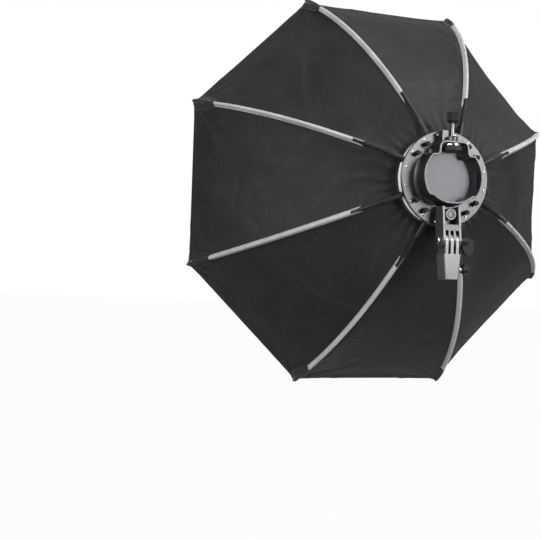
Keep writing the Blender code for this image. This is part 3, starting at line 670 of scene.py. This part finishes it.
def cloth_shell(name, outer, inner, normal, before, after, v, mats, attributes):
    """A thin closed sheet from matching grids of outer and inner points. before and after are U at a
    column as seen by the faces before and after it, since a seam makes U jump."""
    rows, cols = outer.shape[:2]
    verts = np.concatenate([outer.reshape(-1, 3), inner.reshape(-1, 3)])
    size = rows * cols
    a, b, c = outer[0, 0], outer[0, 1], outer[1, 0]
    flip = float(np.dot(np.cross(b - a, c - a), normal[0, 0])) < 0
    faces = grid_faces(rows, cols, flip) + grid_faces(rows, cols, not flip, size)
    skins = len(faces)
    edge = ([(0, c) for c in range(cols)] + [(r, cols - 1) for r in range(1, rows)]
            + [(rows - 1, c) for c in range(cols - 2, -1, -1)] + [(r, 0) for r in range(rows - 2, 0, -1)])
    ring = [r * cols + c for r, c in edge]
    for i, low in enumerate(ring):
        high = ring[(i + 1) % len(ring)]
        quad = (high, low, low + size, high + size)
        faces.append(quad[::-1] if flip else quad)
    slots = np.zeros(len(faces), np.int32)
    slots[skins // 2:skins] = 1
    mesh, loop_vert = new_mesh(name, verts.tolist(), faces, mats, slots)
    row, column = np.divmod(loop_vert % size, cols)
    quads = loop_vert.reshape(-1, 4)
    start = np.repeat((quads % size % cols).min(1), 4)
    start[4 * skins:] = column[4 * skins:]
    value = np.where(column > start, before[row, column], after[row, column])
    set_uv(mesh, np.stack([value, v[row, column]], -1))
    both = np.concatenate([normal.reshape(-1, 3), -normal.reshape(-1, 3)])
    loops = both[loop_vert]
    wall = verts[quads[skins:]]
    wall_normal = np.cross(wall[:, 1] - wall[:, 0], wall[:, 2] - wall[:, 0])
    wall_normal /= np.maximum(np.linalg.norm(wall_normal, axis=1, keepdims=True), 1e-12)
    loops[4 * skins:] = np.repeat(wall_normal, 4, 0)
    for key, values in attributes.items():
        set_points(mesh, key, np.tile(values.ravel(), 2))
    mesh.update()
    mesh.normals_split_custom_set(loops.tolist())
    return link_object(name, mesh)


def grid_area(points):
    """Area of a grid of points."""
    a, b, c, d = points[:-1, :-1], points[:-1, 1:], points[1:, 1:], points[1:, :-1]
    first = np.linalg.norm(np.cross(b - a, c - a), axis=-1).sum()
    return (first + np.linalg.norm(np.cross(c - a, d - a), axis=-1).sum()) / 2


def folded_keep(rho):
    """Share of its width that a row keeps when folded, so that neighbours meet half way between two ribs."""
    lean, drop = math.cos(LIMIT), math.sin(LIMIT)
    inner = rho * math.cos(HALF_SIDE) ** 2
    radius = HINGE[0] + (inner - HINGE[0]) * lean - (float(cloth_depth(rho)) - HINGE[1]) * drop
    return radius * math.tan(HALF_SIDE) / (rho * math.cos(HALF_SIDE) * math.sin(HALF_SIDE))


def build_canopy():
    points, normal, x, wear = canopy_surface()
    hem = 0.55 * MM * smooth(TOTAL - HEM - 0.3 * MM, TOTAL - HEM + 0.3 * MM, RUN)
    hem *= 1 - 0.5 * smooth(TOTAL - 1.2 * MM, TOTAL, RUN)
    outer = points + normal * hem[:, None, None]
    inner = points - normal * CLOTH_THICK
    to_rim = np.broadcast_to((TOTAL - RUN)[:, None], x.shape)
    run = np.broadcast_to(RUN[:, None], x.shape)
    for i in range(SIDES):
        centre = 2 * HALF_COLS * i + HALF_COLS
        columns = np.arange(centre - HALF_COLS, centre + HALF_COLS + 1) % COLS
        for band in range(len(BANDS) - 1):
            rows = np.arange(EDGES[band], EDGES[band + 1] + 1)
            pick = np.ix_(rows, columns)
            after = x[pick].copy()
            before = after.copy()
            half = RHO[rows] * math.sin(HALF_SIDE)
            before[:, HALF_COLS] = half
            after[:, HALF_COLS] = -half
            name = f"canopy_{i + 1}_{band + 1:02d}"
            item = cloth_shell(name, outer[pick], inner[pick], normal[pick], before, after, run[pick],
                               (CLOTH, LINING), {"wear": wear[pick], "rim": to_rim[pick]})
            area = float(grid_area(points[pick]))
            if band == 0:
                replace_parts(item, f"canopy_gore_{i + 1}")
                angle = rib_angle(i)
                hub_point(60 * MM, angle, 19 * MM)
                hub_point(68.4 * MM, angle, 19 * MM)
                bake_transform(item)
            else:
                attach(item, f"rib_{i + 1}")
                middle = (RHO[rows[0]] + RHO[rows[-1]]) / 2
                tuple(around(rib_angle(i)))
                max(0.03, folded_keep(middle))
                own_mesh(item)


# ---- what is sewn on along each rib
def lie_of_cloth(radius, x):
    """The cloth's outer face beside a rib, measured from the rod's centre along the rod's normal."""
    lean = (radius - ARC_C[0]) / ARC_R
    half = radius * math.sin(HALF_SIDE)
    f = min(1.0, abs(x) / half)
    sag = float(sag_amount(radius)) * f * (2 - f)
    return -float(below_rod(radius)) - abs(x) * math.tan(HALF_SIDE) * lean - sag


def rib_strip(parts, index, start, end, outline, step=4 * MM):
    """A closed skin along a rib. outline(radius) gives (x, height) points from the rod's centre."""
    side = around(rib_angle(index))
    grid, uv, run, last = [], [], 0.0, None
    count = max(2, round((end - start) / step))
    for k in range(count + 1):
        radius = start + (end - start) * k / count
        centre, normal = rod_frame(radius, rib_angle(index))
        run += 0.0 if last is None else float(np.linalg.norm(centre - last))
        last = centre
        shape = outline(radius)
        grid.append([tuple(centre + side * x + normal * y) for x, y in shape])
        uv += [(x, run) for x, _ in shape]
    parts.strip(grid, uv)


def on_cloth(radius, points):
    """Points from pairs of distance from the rib and lift off the cloth."""
    return [(x, lie_of_cloth(radius, x) + lift) for x, lift in points]


def mirrored(points):
    """Points that end on the axis, then their mirror images back to the other side."""
    return points + [(-x, y) for x, y in points[-2::-1]]


def sleeve_outline(radius):
    """Webbing tube over the rod, with a stitched flange on either side."""
    top = on_cloth(radius, mm((3.9, 0.30), (3.7, 0.60), (3.1, 0.62), (2.65, 0.80)))
    ripple = 0.10 * MM * math.sin(radius / (9 * MM) * 2 * math.pi)
    top[2] = (top[2][0], top[2][1] + ripple)
    top += mm((2.42, -1.0), (2.25, 0.25), (1.75, 1.45), (0.95, 2.10), (0, 2.28))
    low = on_cloth(radius, mm((3.8, 0.10), (2.9, 0.12)))
    low += mm((2.2, -2.0), (1.85, -0.9), (1.78, 0.2), (1.25, 1.25), (0, 1.76))
    return mirrored(top) + mirrored([(-x, y) for x, y in low])


def prong_outline(side, radius, tip):
    """One side of the sleeve's notched end, which narrows to a point at its tip."""
    edge = (1.9 + tip) * MM
    points = mm((3.9, 0.25), (3.75, 0.62), (3.4, 0.70))
    points += [(edge + 0.2 * MM, 0.72 * MM), (edge, 0.40 * MM), (edge + 0.1 * MM, 0.14 * MM)]
    points = on_cloth(radius, points + mm((3.4, 0.12), (3.8, 0.10)))
    return points if side > 0 else [(-x, y) for x, y in points[::-1]]


def tape_outline(radius):
    """Flat seam tape under the rod."""
    top = mirrored(mm((6.0, 0.12), (5.7, 0.42), (3.0, 0.45), (0, 0.45)))
    return on_cloth(radius, top + mirrored(mm((-5.6, 0.05), (-3.0, 0.05), (0, 0.05))))


def pocket_outline(radius):
    """Corner pocket: a patch that widens to the rim, with a hump over the rib's end cap."""
    spread = float(np.interp(radius, mm(299, 303, 318, 321, 324.6), mm(8.5, 9.5, 13, 12, 3.4)))
    hump = float(np.interp(radius, mm(299, 304.5, 308.5, 321.5, 323.6, 324.6), mm(2.7, 2.9, 3.5, 3.5, 2.6, 1.2)))
    radius = min(radius, RIM_RHO)
    patch = [max(hump + 0.8 * MM, spread * share) for share in (1.0, 0.97, 0.75, 0.5)]
    top = on_cloth(radius, zip(patch, mm(0.35, 1.15, 1.15, 1.15)))
    top += [(hump * math.cos(t), hump * math.sin(t)) for t in map(math.radians, (-25, 15, 50, 90))]
    low = on_cloth(radius, [(-share * spread, lift) for share, lift in zip((0.95, 0.5, 0), mm(0.3, 0.7, 0.7))])
    return mirrored(top) + mirrored(low)


def build_rib_trim():
    notch, sleeve_start, sleeve_end = mm(116.5, 130, 304.5)
    pocket_start, pocket_end = mm(299, 324.6)
    for i in range(SIDES):
        body = f"rib_{i + 1}"
        sleeve = Parts()
        rib_strip(sleeve, i, sleeve_start, sleeve_end, sleeve_outline)
        for side in (1, -1):
            rib_strip(sleeve, i, notch, sleeve_start + 0.2 * MM,
                      lambda r, s=side: prong_outline(s, r, max(0.0, 1 - (r - notch) / (6 * MM))), step=2 * MM)
        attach(sleeve.finish(f"sleeve_{i + 1}", [SLEEVE]), body)
        tape = Parts()
        rib_strip(tape, i, 89 * MM, 134 * MM, tape_outline, step=3 * MM)
        rib_strip(tape, i, pocket_start, pocket_end, pocket_outline, step=1.6 * MM)
        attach(tape.finish(f"pocket_{i + 1}", [TAPE]), body)


# ---- diffusers
def octagon_sheet(name, radius, depth, bulge, seed, border, mat, steps, wrinkle):
    """Octagonal cloth panel: pulled tight from its corners, bowed a little towards the front."""
    share, side, rib = (v[::2] for v in rib_columns())
    inner = 1.5 * MM
    scale = np.concatenate([inner + (radius - border - 1 * MM - inner) * np.linspace(0, 1, steps),
                            radius - border + np.array([-0.3, 0.3]) * MM,
                            np.linspace(radius - border + 2 * MM, radius, 6)])
    rows, cols = len(scale), len(share)
    grid = octagon(share, side, rib)[None] * scale[:, None, None]
    rim = np.broadcast_to((radius - scale)[:, None] * math.cos(HALF_SIDE), (rows, cols))
    reach = share[None] * scale[:, None] * math.sin(HALF_SIDE)
    u = -side[None] * (scale[:, None] * math.sin(HALF_SIDE) - reach)
    v = np.broadcast_to(scale[:, None] * math.cos(HALF_SIDE), u.shape)
    flat = np.stack([grid[..., 0].ravel(), grid[..., 1].ravel(), np.full(u.size, seed)], -1)
    edge, reach = rim.ravel(), reach.ravel()
    corner, turn = np.hypot(reach, edge), np.arctan2(edge, np.maximum(reach, 1e-6))
    fan = np.cos(9 * turn + np.tile(rib * 1.9 + side, rows))
    push = (wrinkle * 1.1 * fan * smooth(8 * MM, 35 * MM, corner) * np.exp(-corner / (60 * MM))
            * np.sin(2 * turn) ** 0.8
            + wrinkle * 1.3 * blobs(flat, 90 * MM, seed) + wrinkle * 0.35 * blobs(flat, 24 * MM, seed + 4))
    push *= smooth(0, 26 * MM, edge) * smooth(2 * MM, 20 * MM, np.repeat(scale, cols))
    ring_wave = wrinkle * 0.5 * blobs(flat, 30 * MM, seed + 9) * (edge < border)
    relief = (bulge * (1 - (scale[:, None] / radius) ** 2) * np.ones_like(u) + push.reshape(u.shape)
              + ring_wave.reshape(u.shape) * 0.3)
    centre = HUB - np.array([0, depth, 0])
    front = np.stack([centre[0] + grid[..., 0], centre[1] - relief, centre[2] + grid[..., 1]], -1)
    back = front + np.array([0, CLOTH_THICK, 0])
    front[..., 1] -= 0.5 * MM * (1 - smooth(border - 0.4 * MM, border + 0.4 * MM, rim))

    verts, faces, uv, values = [], [], [], []
    for layer, sign in ((front, 1), (back, -1)):
        base = len(verts)
        verts += layer.reshape(-1, 3).tolist()
        uv += np.stack([u, v], -1).reshape(-1, 2).tolist()
        values += rim.ravel().tolist()
        faces += [quad[::sign] for quad in quad_rows(rows, cols, base)]
        verts.append(layer[0].mean(0).tolist())
        uv.append((0.0, 0.0))
        values.append(float(rim[0, 0]))
        faces += [(base + c, len(verts) - 1, base + (c + 1) % cols)[::sign] for c in range(cols)]
    low, high = (rows - 1) * cols, rows * cols + 1 + (rows - 1) * cols
    faces += [(low + c, low + (c + 1) % cols, high + (c + 1) % cols, high + c) for c in range(cols)]
    item = face_outward(make_object(name, verts, faces, [mat], uv=uv), 50)
    set_points(item.data, "rim", values)
    return item


def build_pull_tab(edge):
    """Folded tape loop on the front cloth's lower edge."""
    tab, steps, half = Parts(), 12, 6 * MM
    base = HUB + np.array([0, -243.6 * MM, 9 * MM - edge])
    rows = []
    for k in range(steps + 1):
        t = k / steps
        y = -2.6 * MM * math.sin(math.pi * min(1, t * 1.15)) - 0.6 * MM
        z = -13 * MM * t + 4 * MM
        x = half - 1.2 * MM * smooth(0.75, 1.0, t)
        corners = ((-x, y, z), (x, y, z), (x, y - 0.6 * MM, z), (-x, y - 0.6 * MM, z))
        rows.append([tuple(base + np.array(p)) for p in corners])
    tab.strip(rows, [(x, 12 * MM * k / steps) for k in range(steps + 1) for x in (-half, half, half, -half)])
    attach(tab.finish("pull_tab", [TAPE]), "front_panel")


def build_diffusers():
    front_r, inner_r = 320.4 * MM, 160 * MM
    border, hem = 17 * MM, 7 * MM
    front = octagon_sheet("front_cloth", front_r, FRONT_DEPTH, 4.5 * MM, 4.4, border,
                          diffuser_cloth("diffuser_front", border, 0.55), 46, 1.0 * MM)
    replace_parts(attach(front, "front_panel"), "front_diffuser")
    build_pull_tab(front_r * math.cos(HALF_SIDE))

    inner = octagon_sheet("inner_cloth", inner_r, 130.3 * MM, 2.5 * MM, 9.1, hem,
                          diffuser_cloth("diffuser_inner", hem, 0.5), 26, 0.8 * MM)
    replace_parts(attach(inner, "inner_panel"), "inner_diffuser")
    straps = Parts()
    half, steps = 4.5 * MM, 14
    for i in range(SIDES):
        angle = rib_angle(i)
        way, flat = outward(angle), around(angle)
        start, end = hub_point(inner_r - 9 * MM, angle, 129.6 * MM), hub_point(220 * MM, angle, 117.2 * MM)
        thick = np.cross(flat, (end - start) / np.linalg.norm(end - start)) * 0.35 * MM
        rows, uv = [], []
        for k in range(steps + 1):
            t = k / steps
            p = start + (end - start) * t - np.array([0, 1.6 * MM * math.sin(math.pi * t), 0])
            rows.append([tuple(p + flat * x + thick * z) for x, z in ((-half, 1), (half, 1), (half, -1), (-half, -1))])
            uv += [(x, t * 70 * MM) for x in (-half, half, half, -half)]
        straps.strip(rows, uv)
        turns = [math.pi * k / 8 for k in range(9)]
        loop = [end + way * 3.2 * MM * math.sin(a) + flat * 4.6 * MM * math.cos(a) for a in turns]
        straps.tube([loop[0] - way * 1 * MM] + loop + [loop[-1] - way * 1 * MM], 0.8 * MM, mat=1)
    band = straps.finish("diffuser_straps", [TAPE, SATIN])
    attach(band, "inner_panel")


# ---- hub details
def build_rivets():
    """Sixteen hollow rivets around the ring, in pairs either side of each rib."""
    parts = Parts()
    profile = mm((0, 0), (2.15, 0), (2.2, 0.55), (2.05, 0.95), (1.5, 1.4), (0.95, 1.5), (0.6, 1.2), (0, 1.1))
    for i in range(SIDES):
        for side in (-1, 1):
            spot = hub_point(59.8 * MM, rib_angle(i) + side * math.radians(10.6), 0.4 * MM)
            parts.turned(profile, spot, (0, 1, 0), 20)
    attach(parts.finish("ring_rivets", [STEEL], 40), "head")


def build_thumb_screw():
    """The clamp's threaded screw and its fluted knob, on an axis that stands upright through the collar."""
    axis = HUB + np.array([0, 16 * MM, 0])
    pitch, length, points = 1.0 * MM, 38 * MM, 190
    screw = Parts()
    profile = [(0, 0)] + [(2.5 * MM, length * k / points) for k in range(points + 1)] + [(0, length)]

    def thread(turn, along):
        phase = (along / pitch - turn / (2 * math.pi)) % 1.0
        crest = 0.5 - 0.5 * math.cos(2 * math.pi * phase)
        end = min(1.0, along / (0.8 * MM), (length - along) / (0.8 * MM))
        return (1 - 0.17 * (1 - crest ** 0.8)) * (0.82 + 0.18 * end)
    screw.turned(profile, axis + np.array([0, 0, 44.2 * MM]), (0, 0, 1), 28, squeeze=thread)
    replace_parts(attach(screw.finish("thumb_screw", [STEEL], 60), "flash_screw"), "clamp_screw")

    def flutes(turn, along):
        deep = smooth(2.6 * MM, 3.2 * MM, along) * (1 - smooth(12.6 * MM, 13.2 * MM, along))
        return 1 - 0.065 * deep * abs(math.sin(turn * 17)) ** 1.5
    knob = Parts()
    knob.turned(mm((0, 2.2), (2.9, 2.2), (2.9, 0.3), (3.2, 0), (4.9, 0), (5.2, 0.3), (5.2, 1.5), (5.6, 1.9),
                   (7.3, 2.0), (7.9, 2.5), (8.0, 2.9), (8.0, 3.3), (8.0, 5), (8.0, 8), (8.0, 11), (8.0, 12.6),
                   (8.0, 13.1), (7.5, 13.8), (7.1, 14.0), (5.9, 14.0), (5.6, 13.5), (3.3, 13.3), (3.0, 13.7),
                   (0, 13.8)), axis + np.array([0, 0, 72.5 * MM]), (0, 0, 1), 204, squeeze=flutes)
    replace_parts(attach(knob.finish("thumb_knob", [GRIP], 38), "flash_screw"), "clamp_knob")


def build_neck_band():
    """Elastic band that holds the cloth's neck on the drum."""
    parts = Parts()
    steps = 128
    shape = [(62.85, 15.2), (62.85, 18.7), (63.2, 19.1), (63.9, 19.0), (64.5, 18.4), (64.7, 17.2), (64.6, 16.0),
             (64.0, 15.0), (63.3, 14.8)]
    verts, uv = [], []
    for k in range(steps):
        turn = 2 * math.pi * k / steps
        wave = 0.12 * math.sin(turn * 64)
        for r, d in shape:
            verts.append(tuple(hub_point((r + (wave if r > 63.5 else 0)) * MM, turn, d * MM)))
            uv.append(((d - 17) * MM, turn * 64 * MM))
    faces = [tuple(i % len(verts) for i in quad) for quad in quad_rows(steps + 1, len(shape))]
    parts.add(verts, faces, 0, uv)
    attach(parts.finish("neck_band", [TAPE], 50), "head")


# ---- CAD nodes that stay
# material and bevel width in millimetres, by the start of a node's name
LOOKS = {"mount_ring": (RING, 0.35), "hub_drum": (WHITE, 0.3), "front_ring": (SATIN, 0.2),
         "tilt_arm": (BRACKET_PAINTED_HIGHLIGHT, 0.45), "arm_screw": (BRACKET_PAINTED_HIGHLIGHT, 0.2), "stand_socket": (SOCKET_PAINTED_HIGHLIGHT, 0.45),
         "tilt_bolt": (STEEL, 0.25), "tilt_washer": (STEEL, 0.15), "tilt_knob": (GRIP, 0.6),
         "spigot_pad": (BRASS, 0.1), "spigot_screw": (STEEL, 0.15), "spigot_knob": (GRIP, 0.6),
         "pressure_disc": (STEEL, 0.2), "pressure_pad": (RUBBER, 0.3), "side_pad": (RUBBER, 0.25),
         "release_button": (GRIP, 0.25), "rib_socket": (SATIN, 0.3), "rib_rod": (ROD, 0.0), "rib_tip": (SATIN, 0.2)}


def modify(item, name, kind, **values):
    modifier = item.modifiers.new(name, kind)
    for key, value in values.items():
        setattr(modifier, key, value)


def dress_cad_nodes():
    for name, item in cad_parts.items():
        if item.hide_render:
            continue
        mat, width = next(look for key, look in LOOKS.items() if name.startswith(key))
        item.data.materials.clear()
        item.data.materials.append(mat)
        modify(item, "weld", "WELD", merge_threshold=1e-6)
        if width:
            modify(item, "flat", "DECIMATE", decimate_type="DISSOLVE", angle_limit=math.radians(1.0))
            modify(item, "bevel", "BEVEL", width=width * MM, segments=2, limit_method="ANGLE",
                   angle_limit=math.radians(38), use_clamp_overlap=True, harden_normals=True)


# ---- stage
def aim_light(data, place):
    """Puts a light at a place, pointed at the hub."""
    item = link_object(data.name, data)
    item.location = place
    item.rotation_mode = "QUATERNION"
    item.rotation_quaternion = (Vector(HUB) - Vector(place)).to_track_quat("-Z", "Y")


def build_stage():
    floor_mat = Mat("floor_pale", Base_Color=(0.35, 0.35, 0.35, 1), Emission_Color=(1, 1, 1, 1), Emission_Strength=0.0)
    cloud = floor_mat.noise(floor_mat.place(), 1.5, 3)
    pale = floor_mat.node("Emission", Color=(0.975, 0.977, 0.98, 1))
    floor_mat.blend_in(floor_mat.node("LightPath", out="Is Camera Ray"), pale)
    floor_mat.finish(Roughness=floor_mat.ramp(cloud, 0.3, 0.7, 0.85, 0.95))
    size, height = 40.0, -0.9
    corners = [(x * size, y * size, height) for x, y in ((-1, -1), (1, -1), (1, 1), (-1, 1))]
    floor = make_object("floor", corners, [(0, 1, 2, 3)], [floor_mat.mat])

    world = bpy.data.worlds.new("studio")
    bpy.context.scene.world = world
    world.use_nodes = True
    studio = Nodes(world.node_tree)
    studio.tree.nodes.clear()
    rise = studio.axis(studio.node("TexCoord", out="Generated"), "Z")
    fade = studio.node("MapRange", i0=rise, i1=-0.25, i2=0.6, i3=0.03, i4=0.55)
    soft = studio.node("Background", Color=fade, Strength=0.40)
    white = studio.node("Background", Color=(1, 1, 1, 1))
    seen = studio.node("LightPath", out="Is Camera Ray")
    studio.node("OutputWorld", Surface=studio.node("MixShader", i0=seen, i1=soft, i2=white))

    for name, place, size, power in (("key", (-1.02, 1.73, 0.56), 0.8, 38), ("fill", (1.9, 0.9, 0.9), 1.2, 46),
                                     ("top", (-1.2, 0.8, 1.9), 1.4, 44), ("front", (0.3, -1.9, 0.4), 1.3, 50)):
        data = bpy.data.lights.new(name, "AREA")
        data.shape = "RECTANGLE"
        data.size, data.size_y, data.energy = size, size, power
        aim_light(data, place)
    data = bpy.data.lights.new("through_collar", "SPOT")
    data.energy, data.spot_size, data.spot_blend, data.shadow_soft_size = 34, math.radians(3.6), 0.4, 0.01
    aim_light(data, (EYE[0], 1.05, EYE[2]))


def build_camera():
    """The photograph's view, fitted to the rim's corners and the ring."""
    yaw, pitch, roll = math.radians(17.29), math.radians(0.873), math.radians(1.876)
    forward = Vector((-math.sin(yaw) * math.cos(pitch), -math.cos(yaw) * math.cos(pitch), math.sin(pitch)))
    right = Vector((-math.cos(yaw), math.sin(yaw), 0))
    up = right.cross(forward)
    right, up = right * math.cos(roll) + up * math.sin(roll), up * math.cos(roll) - right * math.sin(roll)
    data = bpy.data.cameras.new("camera")
    data.lens, data.sensor_width = 56.76, 36
    data.clip_start, data.clip_end = 0.05, 100
    camera = link_object("camera", data)
    turn = Matrix((right, up, -forward)).transposed()
    camera.matrix_world = Matrix.Translation(EYE) @ turn.to_4x4()
    bpy.context.scene.camera = camera


bpy.context.scene.view_settings.view_transform = "Standard"
build_camera()
build_stage()
build_canopy()
build_rib_trim()
build_diffusers()
build_rivets()
build_thumb_screw()
build_neck_band()
dress_cad_nodes()
